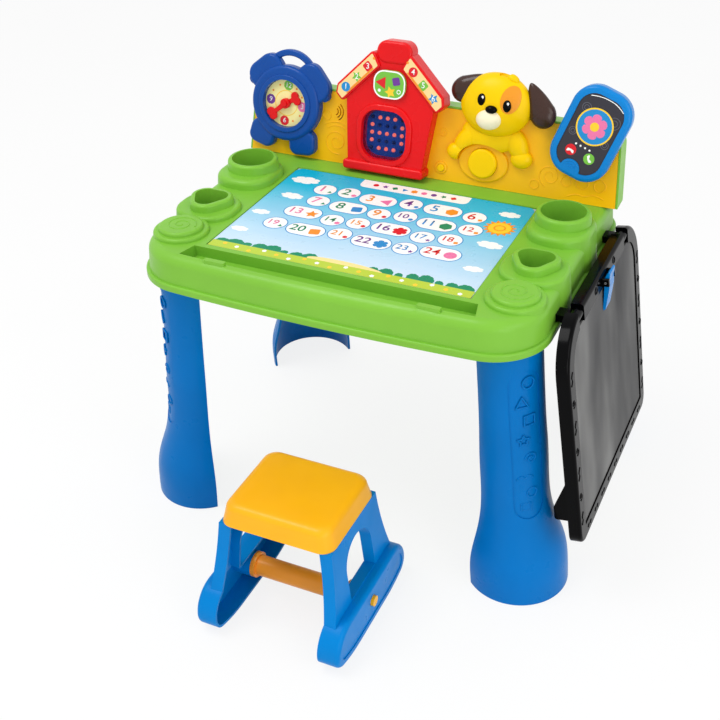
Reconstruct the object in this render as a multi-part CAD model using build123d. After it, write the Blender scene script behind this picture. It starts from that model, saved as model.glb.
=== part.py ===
from build123d import *
import os
from math import cos, sin, tan, radians

os.makedirs("parts", exist_ok=True)

# Desk sizes
deck_z = 480.0
page_l = 396.0
page_w = 284.0
page_t = 0.8
pad_t = 3.0
edge_gap = 1.0
desk_half = 300.0
front_y = -206.0
front_bow = 12.0
rear_y = 262.0
front_corner = 80.0
rear_corner = 55.0
skirt_h = 52.0
skirt_draft = 5.0
lip_h = 10.0
lip_out = 4.0
wall = 3.5
deck_t = 10.0
rim_round = 15.0
skirt_z = deck_z - skirt_h

# Cups, discs and groove
cup_x = 252.0
rear_cup_y = 92.0
rear_cup_r = 33.0
rear_rise = 29.0
mid_cup_y = -42.0
mid_cup_half = 38.0
mid_cup_l = 70.0
mid_cup_round = 17.0
mid_rise = 20.0
cup_land = 6.0
pod_draft = 6.0
terrace_half = 52.0
cup_floor = 445.0
disc_y = -122.0
disc_r = 35.0
disc_rise = 12.0
groove_half = 212.0
groove_flare = 14.0
groove_back = -152.0
groove_wall = 18.0
groove_floor = 464.0
tab_x = 158.0

# Legs
foot_x = 275.0
foot_front = -106.0
foot_rear = 298.0
leg_top_x = 244.0
leg_top_front = -122.0
leg_top_rear = 206.0
foot_r = 77.0
shank_r = 52.0
leg_top_r = 47.0
flare_h = 140.0
leg_wall = 4.0
panel_w = 46.0
panel_deep = 1.6
tenon_r = 33.0
tenon_h = 22.0
cap_t = 6.0
base_t = 3.0
base_z = skirt_z + 2.0
fit = 0.4
screw_r = 2.2
screw_head_r = 4.5

# Console
lean = 10.0
console_y = 182.0
plate_half = 306.0
plate_top = 112.0
plate_t = 4.0
cover_deep = 36.0
cover_wall = 3.0
skin = 3.0
belly_u = 97.0
belly_v = 38.0
belly_r = 23.0
belly_travel = 2.5
small_u = 29.0
small_v = 20.0
small_r = 6.0
speaker_u = -157.0
speaker_v = 82.0

# Clock, house, puppy, telephone
clock_u = -238.0
clock_v = 86.0
clock_r = 60.0
clock_turn = -6.0
dial_r = 38.0
clock_t = 18.0
hand_t = 3.2
house_u = -57.0
house_t = 24.0
roof_mid = 3.0
window_w = 75.0
window_h = 77.0
lamp_pitch_u = 12.6
lamp_pitch_v = 12.0
pup_u = 111.0
pup_v = 129.5
phone_u = 258.0
phone_v = 108.0
phone_w = 92.0
phone_l = 139.0
phone_turn = -20.0
phone_gap = 3.0
phone_t = 17.0
phone_rim = 11.0
notch_r = 15.0

# Chalkboard
board_l = 385.0
board_h = 345.0
board_t = 18.0
board_y = 40.0
board_tilt = 8.5
board_top_r = 70.0
board_low_r = 22.0
board_border = 24.0
hinge_x = 322.0
hinge_z = 447.0
pin_r = 3.0

# Stool
stool_x = 6.0
stool_y = -290.0
seat_z = 212.0
seat_l = 172.0
seat_w = 150.0
seat_h = 32.0
seat_inset = 7.0
seat_wall = 4.0
seat_corner = 20.0
boss_x = 74.0
boss_y = 42.0
rest_z = seat_z - 22.0
side_in = 80.0
runner_out = 113.0
panel_out = 98.0
panel_lean = 6.3
hole_r = 40.0
shell = 4.0
plug_r = 8.0
runner_l = 234.0
runner_flat = 45.0
sweep_r = 200.0
sweep_turn = 16.0
runner_h = 72.0
bar_r = 15.5
bar_z = 42.0

parts = {}


def desk_face(off):
    # Plan outline of the desk with a bowed front, grown or shrunk by off
    side = front_y + front_bow
    edges = [
        Line((desk_half, side), (desk_half, rear_y)),
        Line((desk_half, rear_y), (-desk_half, rear_y)),
        Line((-desk_half, rear_y), (-desk_half, side)),
        ThreePointArc((-desk_half, side), (0, front_y), (desk_half, side)),
    ]
    face = make_face(edges)
    front = [v for v in face.vertices() if v.Y < 0]
    face = fillet(front, front_corner)
    rear = [v for v in face.vertices() if v.Y > rear_y - 1]
    face = fillet(rear, rear_corner)
    if off:
        face = offset(face, off)
    return face


def lift(shape, z):
    return Pos(0, 0, z) * shape


def both_sides(shape):
    return shape + mirror(shape, about=Plane.YZ)


def terrace(face, high, shrink, round_off):
    # One moulded step of a pod: drafted walls from the lip up, soft upper edge
    low = skirt_z + 2
    body = extrude(lift(face, low), high - shrink - low, taper=pod_draft)
    if shrink:
        return body
    return fillet(body.faces().sort_by(Axis.Z)[-1].edges(), round_off)


def draft_at(high):
    return (high - skirt_z - 2) * tan(radians(pod_draft))


def mid_cup_face(off):
    # Shield-shaped cup: straight rear edge, rounded point to the front
    rear = mid_cup_l * 0.35
    face = Polygon((-mid_cup_half, rear), (0, rear - mid_cup_l), (mid_cup_half, rear), align=None)
    face = fillet(face.vertices(), mid_cup_round)
    face = offset(face, off) if off else face
    return Pos(cup_x, mid_cup_y) * face


def step_face(y, length, corner, shrink):
    size = (2 * (terrace_half - shrink), length - 2 * shrink)
    return Pos(cup_x + 1, y) * RectangleRounded(*size, corner - shrink)


def pods(shrink):
    rear = deck_z + rear_rise
    mid = deck_z + mid_rise
    front = deck_z + disc_rise
    rear_r = rear_cup_r + cup_land + draft_at(rear)
    spot = Pos(cup_x, disc_y)
    right = terrace(step_face(rear_cup_y - 9, 116, 46, shrink), deck_z + 14, shrink, 8)
    right = right + terrace(Pos(cup_x, rear_cup_y) * Circle(rear_r - shrink), rear, shrink, 4.5)
    right = right + terrace(step_face(mid_cup_y - 2, 100, 44, shrink), deck_z + 8, shrink, 5)
    right = right + terrace(mid_cup_face(cup_land + draft_at(mid) - shrink), mid, shrink, 4.5)
    right = right + terrace(spot * Circle(disc_r + 11 - shrink), deck_z + 6, shrink, 4)
    right = right + terrace(spot * Circle(disc_r + draft_at(front) - 3 - shrink), front, shrink, 4)
    return both_sides(right)


def desk_body(shrink):
    low = lift(desk_face(-shrink), skirt_z)
    block = extrude(low, skirt_h - (deck_t if shrink else 0), taper=skirt_draft)
    if not shrink:
        top = block.faces().sort_by(Axis.Z)[-1].edges()
        block = fillet(top, rim_round)
        lip = lift(desk_face(lip_out), skirt_z)
        bead = extrude(lip, lip_h)
        bead = fillet(bead.faces().sort_by(Axis.Z)[-1].edges(), 3.0)
        block = block + bead
    return block + pods(shrink)


def cup_wells(grow):
    low = cup_floor - grow
    rear_h = deck_z + rear_rise + 1 - low
    rear = Pos(cup_x, rear_cup_y, low) * Cone(
        rear_cup_r + grow - 4, rear_cup_r + grow, rear_h, align=(Align.CENTER, Align.CENTER, Align.MIN))
    mid_h = deck_z + mid_rise + 1 - low
    mid = extrude(lift(mid_cup_face(grow - 3), low), mid_h, taper=-2.5)
    return both_sides(rear + mid)


def groove_cut(grow):
    rear = groove_half + grow
    front = rear + groove_flare
    back = groove_back + grow
    zone = Polygon((-rear, back), (-front, back - 60), (front, back - 60), (rear, back), align=None)
    face = desk_face(grow - groove_wall) & zone
    return extrude(lift(face, groove_floor - grow), deck_z - groove_floor + grow + 5)


def desk_top():
    body = desk_body(0) - desk_body(wall)
    inner = groove_cut(wall) + cup_wells(wall)
    body = body + (inner & desk_body(0))
    recess = Pos(0, 0, deck_z) * Box(page_l + 2 * edge_gap, page_w + 2 * edge_gap, 2 * (page_t + pad_t + 1))
    body = body - groove_cut(0) - cup_wells(0) - recess
    for x in (-tab_x, tab_x):
        tab = Pos(x, front_y + groove_wall + 1, deck_z) * Box(32, 8, 8)
        body = body + fillet(tab.edges().filter_by(Axis.Z), 2)
    return body


def half_disc(r, turn, back=0.0):
    # Half circle whose round side points along the turn angle
    cut = Pos((r - back) / 2) * Rectangle(r + back, 2 * r)
    return Rot(0, 0, turn) * (Circle(r) & cut)


def leg_places():
    places = {}
    for side, sx in (("left", -1), ("right", 1)):
        places[f"front_{side}_leg"] = (sx, foot_front, leg_top_front, -90 + 45 * sx)
        places[f"rear_{side}_leg"] = (sx, foot_rear, leg_top_rear, 90 - 45 * sx)
    return places


def screw_spot(sx, top_y, turn):
    return sx * leg_top_x + 14 * cos(radians(turn)), top_y + 14 * sin(radians(turn))


def leg_half(inset, low, high):
    # Half-round shank with a bell foot, standing on its own axis
    foot = foot_r - inset
    points = [
        (foot, 14),
        (foot - 3, 62),
        (shank_r + 10 - inset, 105),
        (shank_r + 1 - inset, flare_h + 12),
        (shank_r - 1 - inset, flare_h + 75),
        (leg_top_r - inset, high),
    ]
    edges = [
        Line((0, low), (foot, low)),
        Line((foot, low), points[0]),
        Spline(points, tangents=[(0, 1), (0, 1)]),
        Line(points[-1], (0, high)),
        Line((0, high), (0, low)),
    ]
    return Rot(0, 0, -90) * revolve(Plane.XZ * make_face(edges), Axis.Z, 180)


def leg_plane(sx, foot_y, top_y, turn):
    run = Vector(sx * (leg_top_x - foot_x), top_y - foot_y, base_z).normalized()
    out = Vector(cos(radians(turn)), sin(radians(turn)), 0)
    out = (out - run * out.dot(run)).normalized()
    return Plane(origin=(sx * foot_x, foot_y, 0), x_dir=out, z_dir=run)


def leg(sx, foot_y, top_y, turn):
    place = leg_plane(sx, foot_y, top_y, turn)
    high = base_z + 40
    outer = leg_half(0, -30, high)
    capsule = Pos(0, flare_h + 130) * SlotOverall(250, panel_w, rotation=90)
    prism = extrude(Plane.YZ * capsule, 100)
    recess = (outer - leg_half(panel_deep, -31, high + 1)) & prism
    shell = place * (outer - leg_half(leg_wall, -31, high + 1) - recess)
    slab = Pos(sx * foot_x, foot_y, base_z / 2) * Box(400, 500, base_z)
    cap_slab = Pos(sx * foot_x, foot_y, base_z - cap_t / 2) * Box(400, 500, cap_t)
    body = (shell & slab) + ((place * outer) & cap_slab)
    tenon = Pos(sx * leg_top_x, top_y, base_z) * half_disc(tenon_r, turn)
    body = body + extrude(tenon, tenon_h)
    x, y = screw_spot(sx, top_y, turn)
    return body - Pos(x, y, base_z) * Cylinder(screw_r + fit, 4 * tenon_h)


def desk_posts():
    spots = [(x, y) for x in (-150, 150) for y in (-100, 150)]
    return spots + [(0, 40)]


def desk_underside():
    base = extrude(lift(desk_face(-wall - 1), base_z), base_t)
    depth = tenon_h + 1
    for sx, foot_y, top_y, turn in leg_places().values():
        spot = Pos(sx * leg_top_x, top_y, base_z)
        shell = extrude(spot * half_disc(tenon_r + fit + 3, turn, 3 + fit), depth + 4)
        hole = extrude(spot * half_disc(tenon_r + fit, turn, fit), depth)
        x, y = screw_spot(sx, top_y, turn)
        base = base + shell - hole - Pos(x, y, base_z) * Cylinder(screw_r + fit, 4 * depth)
    for x, y in desk_posts():
        base = base - Pos(x, y, base_z) * Cylinder(screw_r + fit, 20)
    return base


def screw(x, y, z, length, head_h=3.0):
    # Pan-head screw pointing up, underside of the head at z
    low = (Align.CENTER, Align.CENTER, Align.MAX)
    up = (Align.CENTER, Align.CENTER, Align.MIN)
    return Pos(x, y, z) * (Cylinder(screw_head_r, head_h, align=low) + Cylinder(screw_r, length, align=up))


def desk_screws():
    shapes = [screw(x, y, base_z, base_t + 18, 1.8) for x, y in desk_posts()]
    for sx, foot_y, top_y, turn in leg_places().values():
        x, y = screw_spot(sx, top_y, turn)
        shapes.append(screw(x, y, base_z - cap_t, cap_t + tenon_h + 4))
    return Compound(shapes)


def desk_top_posts(body):
    low = base_z + base_t
    for x, y in desk_posts():
        up = deck_z - deck_t - low + 1
        post = Pos(x, y, low) * Cylinder(7, up, align=(Align.CENTER, Align.CENTER, Align.MIN))
        bore = Pos(x, y, low) * Cylinder(screw_r + fit, 40)
        body = body + post - bore
    return body


def desk_parts():
    parts["desk_top"] = desk_top_posts(desk_top())
    parts["desk_underside"] = desk_underside()
    pad_low = deck_z - page_t - pad_t - 1
    parts["touch_pad"] = Pos(0, 0, pad_low + pad_t / 2) * Box(page_l, page_w, pad_t)
    page = lift(RectangleRounded(page_l, page_w, 12), pad_low + pad_t)
    parts["activity_page"] = extrude(page, page_t)
    for name, place in leg_places().items():
        parts[name] = leg(*place)
    parts["desk_screws"] = desk_screws()


console = Plane(
    origin=(0, console_y, deck_z),
    x_dir=(1, 0, 0),
    z_dir=(0, -cos(radians(lean)), sin(radians(lean))))
flush = 0.3


def stand(face, low, high, round_off=0.0):
    # Extrude a face of the console plane from depth low to depth high
    body = extrude(console * Pos(0, 0, low) * face, high - low, dir=console.z_dir)
    if round_off:
        front = body.faces().sort_by(Axis(console.origin, console.z_dir))[-1]
        body = fillet(front.outer_wire().edges(), round_off)
    return body


def over_deck(shape, gap):
    keep = Pos(0, console_y, deck_z + gap + 200) * Box(900, 400, 400)
    return shape & keep


def cover_face(off):
    top = plate_top + 4
    wide = plate_half + 4
    face = Polygon((-wide, -14), (wide, -14), (wide - 10, top), (-wide + 10, top), align=None)
    corners = [v for v in face.vertices() if v.Y > 0]
    face = fillet(corners, 26)
    return offset(face, off) if off else face


def post_spots():
    return [(-284, 26), (-284, 88), (-128, 96), (-136, 20), (14, 98), (168, 20), (168, 96), (284, 30), (284, 84)]


battery_u, battery_v, battery_l, battery_h = -60.0, 38.0, 112.0, 56.0
switch_u, switch_v, switch_travel = 225.0, 60.0, 5.0
boss_low = -plate_t - 6.0
board_low = -15.0
standoff_r = 4.0


def standoff_spots():
    return [(24, 60), (60, 22), (144, 22), (144, 82)]


def rear_cover():
    back = -cover_deep
    body = stand(cover_face(0), back, -1, 0)
    body = body - stand(cover_face(-cover_wall), back + cover_wall, 1)
    for u, v in post_spots():
        spot = Pos(u, v)
        body = body + stand(spot * Circle(6), back + 1, boss_low)
        body = body - stand(spot * Circle(screw_head_r + fit), back - 1, back + 14)
        body = body - stand(spot * Circle(screw_r + fit), back - 1, boss_low + 1)
    for u, v in standoff_spots():
        body = body + stand(Pos(u, v) * Circle(standoff_r), back + 1, board_low)
    window = Pos(battery_u, battery_v) * RectangleRounded(battery_l, battery_h, 6)
    body = body - stand(window, back - 1, back + cover_wall + 1)
    slot = Pos(switch_u, switch_v) * RectangleRounded(8 + 2 * switch_travel + 2 * fit, 6 + 2 * fit, 1)
    body = body - stand(slot, back - 1, back + cover_wall + 1)
    return over_deck(body, 0)


def peg_spots():
    turn = radians(phone_turn)
    return [(phone_u - s * 30 * sin(turn), phone_v - 6 + s * 30 * cos(turn)) for s in (-1, 0)]


def front_plate():
    body = stand(cover_face(-cover_wall - fit), -plate_t, 0)
    body = over_deck(body, flush)
    body = body + stand(Pos(belly_u, belly_v) * Ellipse(40, 30), -1, 4, 3)
    body = body + stand(Pos(small_u, small_v) * Circle(10), -1, 2, 1.5)
    body = body - stand(Pos(belly_u, belly_v) * Circle(belly_r + fit), -9, 9)
    body = body - stand(Pos(small_u, small_v) * Circle(small_r + fit), -9, 9)
    for u, v in post_spots():
        body = body + stand(Pos(u, v) * Circle(6), boss_low, -plate_t + 1)
        body = body - stand(Pos(u, v) * Circle(screw_r + fit), boss_low - 1, -plate_t + 1)
    for u, v in peg_spots():
        body = body + stand(Pos(u, v) * Circle(7), -1, phone_gap + 8)
    for r in (6, 10.5, 15):
        arc = CenterArc((0, 0), r, -60, 110)
        body = body - stand(Pos(speaker_u, speaker_v) * SlotArc(arc, 1.8), -9, 9)
    return body


def console_screws():
    head_at = -cover_deep + 14
    shapes = []
    for u, v in post_spots():
        shank = stand(Pos(u, v) * Circle(screw_r), head_at, -plate_t)
        shapes.append(shank + stand(Pos(u, v) * Circle(screw_head_r), head_at - 3, head_at))
    spot = Pos(battery_u, battery_v + 23)
    back = -cover_deep
    shank = stand(spot * Circle(screw_r), back, back + 7)
    shapes.append(shank + stand(spot * Circle(screw_head_r), back - 2, back))
    return Compound(shapes)


def press_button(u, v, r, high):
    low = -plate_t - 0.6
    cap = stand(Pos(u, v) * Circle(r), low - 1, high, min(4.0, r / 3))
    return cap + stand(Pos(u, v) * Circle(r + 3), low - 2.5, low)


switch_top = -plate_t - 0.6 - 2.5 - belly_travel - 0.4


def switch_blocks():
    shapes = []
    for u, v in ((belly_u, belly_v), (small_u, small_v)):
        shapes.append(stand(Pos(u, v) * RectangleRounded(7, 7, 1), board_low + 1.6, switch_top))
    return Compound(shapes)


def main_board():
    board = stand(Pos(84, 52) * Rectangle(136, 76), board_low, board_low + 1.6)
    chips = Pos(60, 75) * Rectangle(22, 22) + Pos(120, 80) * Rectangle(14, 20) + Pos(30, 80) * Rectangle(10, 16)
    return board + stand(chips, board_low - 3, board_low + 0.5)


def speaker():
    spot = Pos(speaker_u, speaker_v)
    return stand(spot * Circle(22), -plate_t - 5, -plate_t) + stand(spot * Circle(12), -plate_t - 14, -plate_t - 4)


def battery_box():
    spot = Pos(battery_u, battery_v)
    back = -cover_deep + cover_wall
    body = stand(spot * Rectangle(battery_l + 8, battery_h + 6), back, back + 20)
    return body - stand(spot * Rectangle(battery_l - 4, battery_h - 4), back - 1, back + 18)


def batteries():
    shapes = []
    for row in (-16.5, 0, 16.5):
        place = console * Pos(battery_u, battery_v + row, -cover_deep + cover_wall + 10.3) * Rot(0, 90, 0)
        nub = Pos(0, 0, 25.5) * Cylinder(2.6, 3)
        shapes.append(place * (Cylinder(7.1, 48) + nub))
    return Compound(shapes)


def battery_door():
    spot = Pos(battery_u, battery_v)
    back = -cover_deep
    door = stand(spot * RectangleRounded(battery_l - 2 * fit, battery_h - 2 * fit, 5.6), back, back + cover_wall)
    hole = stand(Pos(battery_u, battery_v + 23) * Circle(screw_r + fit), back - 1, back + 9)
    return door - hole


def power_slider():
    spot = Pos(switch_u - switch_travel, switch_v)
    back = -cover_deep
    knob = stand(spot * RectangleRounded(8, 6, 0.8), back - 3, back + cover_wall + 1)
    return knob + stand(spot * Rectangle(26, 12), back + cover_wall + 0.4, back + cover_wall + 2.4)


def console_parts():
    parts["console_rear_cover"] = rear_cover()
    parts["console_front_plate"] = front_plate()
    parts["console_screws"] = console_screws()
    parts["round_button"] = press_button(belly_u, belly_v, belly_r, 10)
    parts["small_button"] = press_button(small_u, small_v, small_r, 4.5)
    parts["button_switches"] = switch_blocks()
    parts["main_circuit_board"] = main_board()
    parts["speaker"] = speaker()
    parts["battery_box"] = battery_box()
    parts["batteries"] = batteries()
    parts["battery_door"] = battery_door()
    parts["power_slider"] = power_slider()


def clock_spot():
    return Pos(clock_u, clock_v) * Rot(0, 0, clock_turn)


def clock_sides(s):
    # One side of the alarm clock: bell, end knob of the bell, foot
    bell = Pos(s * 42, 41) * Rot(0, 0, -45 * s) * RectangleRounded(64, 46, 21)
    knob = Pos(s * 63, 25) * Circle(9)
    foot = Pos(s * 36, -57) * Rot(0, 0, 10 * s) * RectangleRounded(46, 40, 14)
    return [clock_spot() * f for f in (bell, knob, foot)]


def clock_arch():
    arch = Pos(0, 36) * (Circle(48) - Circle(38))
    return clock_spot() * (arch & (Pos(0, 80) * Rectangle(110, 60)))


def clock_face(off):
    outline = clock_spot() * Circle(clock_r) + clock_arch()
    for f in clock_sides(-1) + clock_sides(1):
        outline = outline + f
    return offset(outline, off)


def hand(length, turn, low, face):
    # Chunky pointer: round hub, waisted arm and a shaped end
    arm = Polygon((0, -4.2), (length, -3.2), (length, 3.2), (0, 4.2), align=None)
    outline = offset(offset(Circle(8) + arm + Pos(length) * face, 2), -2) - Circle(2.5 + fit)
    place = clock_spot() * Rot(0, 0, turn)
    return stand(place * outline, low, low + hand_t, 1.2)


def clock_parts():
    spot = clock_spot()
    body = stand(spot * Circle(clock_r), flush, clock_t, 6)
    for s in (-1, 1):
        bell, knob, foot = clock_sides(s)
        body = body + stand(bell, flush, 14, 5) + stand(knob, flush, 10.6, 3) + stand(foot, flush, 15, 5)
    body = body + stand(clock_arch(), flush, 8.2, 3)
    body = body + stand(spot * Circle(dial_r + 8), clock_t - 1, clock_t + 2.4, 2)
    hollow = stand(clock_face(-skin), 0, 6) + stand(spot * Circle(clock_r - skin - 4.2), 5, clock_t - skin)
    hollow = hollow - stand(spot * Circle(dial_r + skin), 6, clock_t + 1)
    body = body - hollow - stand(spot * Circle(dial_r), 9, clock_t + 9)
    parts["clock_front"] = body
    parts["clock_back"] = stand(clock_face(-skin - fit), flush, flush + 2)
    parts["clock_dial"] = stand(spot * (Circle(dial_r - fit) - Circle(2.5 + fit)), 9, 10.6)
    hour_low = 11.2
    minute_low = hour_low + hand_t + 0.6
    cap_low = minute_low + hand_t + 0.6
    pin = stand(spot * Circle(2.5), 9, cap_low + 1)
    parts["clock_spindle"] = pin + stand(spot * Circle(4.5), cap_low, cap_low + 1.8, 0.8)
    bow = Pos(0, 4.5) * Circle(6.5) + Pos(0, -4.5) * Circle(6.5)
    parts["hour_hand"] = hand(20, 34, hour_low, bow)
    parts["minute_hand"] = hand(29, 225, minute_low, Pos(0, 3.5) * Circle(7) + Pos(0, -3.5) * Circle(7))


def house_faces():
    walls = Polygon((-63, 4), (61, 4), (76, 114), (-70, 114), align=None)
    gable = Polygon((-80, 110), (87, 110), (87, 129), (27, 188), (-21, 188), (-80, 129), align=None)
    gable = fillet(gable.vertices(), 6)
    top = Pos(6, 188) * RectangleRounded(58, 34, 16)
    plinth = Pos(-2, 9) * RectangleRounded(136, 15, 5)
    return [Pos(house_u) * f for f in (walls, gable, top, plinth)]


def roof_beam(side):
    # Raised roof edge that carries one printed strip
    face = Polygon((78, 106), (90, 118), (88, 132), (30, 190), (17, 166), align=None)
    face = fillet(face.vertices(), 5)
    if side < 0:
        face = mirror(face, about=Plane.YZ)
    return Pos(house_u + roof_mid) * face


def house_outline(off):
    walls, gable, top, plinth = house_faces()
    return offset(walls + gable + top, off)


def house_window(off):
    face = Pos(house_u - 3, 62) * RectangleRounded(window_w, window_h, 26)
    return offset(face, off) if off else face


def house_front():
    walls, gable, top, plinth = house_faces()
    body = stand(walls + gable, flush, house_t, 2)
    body = body + stand(top, flush, house_t + 2, 5) + stand(plinth, flush, house_t + 5, 4)
    for side in (-1, 1):
        body = body + stand(roof_beam(side), flush, house_t + 4, 2.5)
    body = body + stand(house_window(9), house_t - 1, house_t + 4, 3.5)
    hollow = stand(house_outline(-skin), 0, house_t - skin)
    hollow = hollow - stand(house_window(skin), 12, house_t + 9)
    body = body - hollow - stand(house_window(0), 17, house_t + 9) - stand(house_window(-3), 5, house_t + 9)
    return over_deck(body, flush)


def lamp_spots():
    grid = range(-2, 3)
    return [(house_u - 3 + lamp_pitch_u * i, 62 + lamp_pitch_v * j) for j in grid for i in grid]


def house_back():
    return over_deck(stand(house_outline(-skin - fit), flush, flush + 2), flush)


def roof_strip(side):
    front = house_t + 4
    return stand(offset(roof_beam(side), -3.5), front, front + 0.8)


def house_parts():
    parts["house_front"] = house_front()
    parts["house_back"] = house_back()
    parts["house_window"] = stand(house_window(-fit), 17, 19.5)
    parts["lamp_board"] = stand(house_window(0), 10.4, 12)
    parts["lamps"] = Compound([stand(Pos(*s) * Circle(2.4), 12, 15.5) for s in lamp_spots()])
    parts["left_roof_strip"] = roof_strip(-1)
    parts["right_roof_strip"] = roof_strip(1)
    badge = Pos(house_u + roof_mid, 141) * RectangleRounded(52, 42, 18)
    parts["gable_badge"] = stand(badge, house_t, house_t + 5.2)


def egg(u, v, d, a, b, c, turn=0.0):
    # Egg-shaped solid on the console plane
    return console * Pos(u, v, d) * Rot(0, 0, turn) * scale(Sphere(1), by=(a, b, c))


def in_front(shape):
    keep = console * Pos(0, 100, flush + 100) * Box(900, 500, 200)
    return shape & keep


def pup_head(grow):
    return egg(pup_u, pup_v, 8, 55 + grow, 47.5 + grow, 26 + grow)


def pup_body():
    # Chest, two arms and two paws lying on the plate
    body = egg(106, 84, 4, 46, 28, 12)
    body = body + egg(69, 72, 4, 27, 15, 11, 52) + egg(53, 51, 4, 15, 13, 11)
    body = body + egg(148, 74, 4, 26, 16, 11, -62) + egg(157, 53, 4, 17, 14, 11)
    body = in_front(body) - pup_head(0.2)
    return body - stand(Pos(belly_u, belly_v) * Ellipse(40.5, 30.5), -1, 30)


def pup_tuft():
    return egg(122, 176, 12, 11, 6, 7, 28) + egg(134, 171, 12, 10, 6, 7, -24)


def pup_parts():
    head = in_front(pup_head(0) + pup_tuft())
    parts["puppy_head"] = head - in_front(pup_head(-skin))
    parts["puppy_back"] = stand(Pos(pup_u, pup_v) * Ellipse(47, 40), flush, flush + 2)
    ear = in_front(egg(57, 146, 8, 18, 21, 11, -12) + egg(82, 163, 8, 30, 12, 9, 18))
    parts["left_ear"] = (ear - pup_head(0) - pup_tuft()).solids().sort_by(SortBy.VOLUME)[-1]
    ear = in_front(egg(181, 122, 8, 21, 19, 11, -10) + egg(170, 141, 8, 14, 27, 9, 24))
    parts["right_ear"] = (ear - pup_head(0) - pup_tuft()).solids().sort_by(SortBy.VOLUME)[-1]
    muzzle = egg(108, 112, 25, 21, 17, 15, 12)
    parts["puppy_body"] = pup_body() - muzzle
    parts["muzzle"] = muzzle - pup_head(0)
    parts["nose"] = egg(112, 127, 35, 9, 6, 6) - muzzle - pup_head(0)
    eyes = [egg(95, 139, 31.5, 6.5, 9, 4) - pup_head(0), egg(134, 134, 31, 6.5, 9, 4) - pup_head(0.7)]
    parts["eyes"] = Compound(eyes)
    patch = stand(Pos(138, 143) * Rot(0, 0, -8) * Ellipse(14, 20), 10, 60)
    parts["eye_patch"] = (patch & pup_head(0.7)) - pup_head(0)


def phone_face(off):
    face = RectangleRounded(phone_w, phone_l, 36)
    face = offset(face, off) if off else face
    return Pos(phone_u, phone_v) * Rot(0, 0, phone_turn) * face


def phone_window(off):
    # Screen opening with a thumb notch in its lower edge
    notch = Pos(-4, phone_rim - phone_l / 2) * Circle(notch_r - off)
    place = Pos(phone_u, phone_v) * Rot(0, 0, phone_turn)
    return phone_face(off - phone_rim) - place * notch


def phone_parts():
    high = phone_gap + phone_t
    body = stand(phone_face(0), phone_gap, high, 6)
    body = body - stand(phone_face(-skin), phone_gap - 1, high - 5)
    parts["phone_case"] = body - stand(phone_window(0), high - 2.5, high + 1)
    parts["phone_screen"] = stand(phone_window(-fit), high - 2.5, high - 1.2)
    back = stand(phone_face(-skin - fit), phone_gap, phone_gap + 2)
    for u, v in peg_spots():
        back = back - stand(Pos(u, v) * Circle(7.5), 0, 9)
    parts["phone_back"] = back


tilt = radians(board_tilt)
board = Plane(
    origin=(hinge_x, board_y, hinge_z),
    x_dir=(0, 1, 0),
    z_dir=(cos(tilt), 0, sin(tilt)))
board_over = 12.0
half_t = board_t / 2
knuckle_y = 120.0
knuckle_w = 22.0
knuckle_r = 8.0
clip_v = -3.0
clip_d = half_t + 5.0
clip_w = 26.0
prop_deep = 34.0


def board_face(off):
    low = board_over - board_h
    half = board_l / 2
    face = Polygon((-half, low), (half, low), (half, board_over), (-half, board_over), align=None)
    face = fillet([v for v in face.vertices() if v.Y > 0], board_top_r)
    face = fillet([v for v in face.vertices() if v.Y < low + 1], board_low_r)
    return offset(face, off) if off else face


def on_board(face, low, high, round_off=0.0):
    body = extrude(board * Pos(0, 0, low) * face, high - low, dir=board.z_dir)
    if round_off:
        front = body.faces().sort_by(Axis(board.origin, board.z_dir))[-1]
        body = fillet(front.outer_wire().edges(), round_off)
    return body


def rod(plane, x, y, d, r, length):
    return plane * Pos(x, y, d) * Rot(0, 90, 0) * Cylinder(r, length)


def board_frame():
    body = on_board(board_face(0), -half_t, half_t, 5)
    body = body - on_board(board_face(-4), -half_t - 1, 1)
    body = body - on_board(board_face(-board_border), half_t - 5, half_t + 1)
    for x in (-knuckle_y, knuckle_y):
        cheeks = Pos(x, 0) * Rectangle(knuckle_w + 16, 2 * board_over)
        body = body + (on_board(cheeks, -half_t, 3) & on_board(board_face(0), -half_t, half_t))
        notch = Pos(x, 0) * Rectangle(knuckle_w + 1.6, 2 * board_over + 4)
        body = body - on_board(notch, -half_t - 1, half_t + 1)
        body = body - rod(board, x, 0, 0, pin_r + fit, knuckle_w + 40)
    for x in (-1, 1):
        lug = Pos(x * (clip_w / 2 + 3.4), clip_v) * RectangleRounded(5, 12, 2)
        body = body + on_board(lug, half_t - 1, clip_d + 5)
    return body - rod(board, 0, clip_v, clip_d, 1.8 + 0.05, clip_w + 30)


def board_prop():
    # Gusset behind the lower front corner that rests on the leg
    side = Polygon((-225, -half_t + 1), (-322, -half_t + 1), (-322, -half_t - prop_deep),
                   (-300, -half_t - prop_deep), align=None)
    side = fillet(side.vertices().sort_by(Axis.Y)[:2], 4)
    place = Plane(origin=board.origin, x_dir=board.y_dir, z_dir=board.x_dir)
    return extrude(place * Pos(0, 0, foot_front - board_y) * side, 5, both=True)


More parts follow.
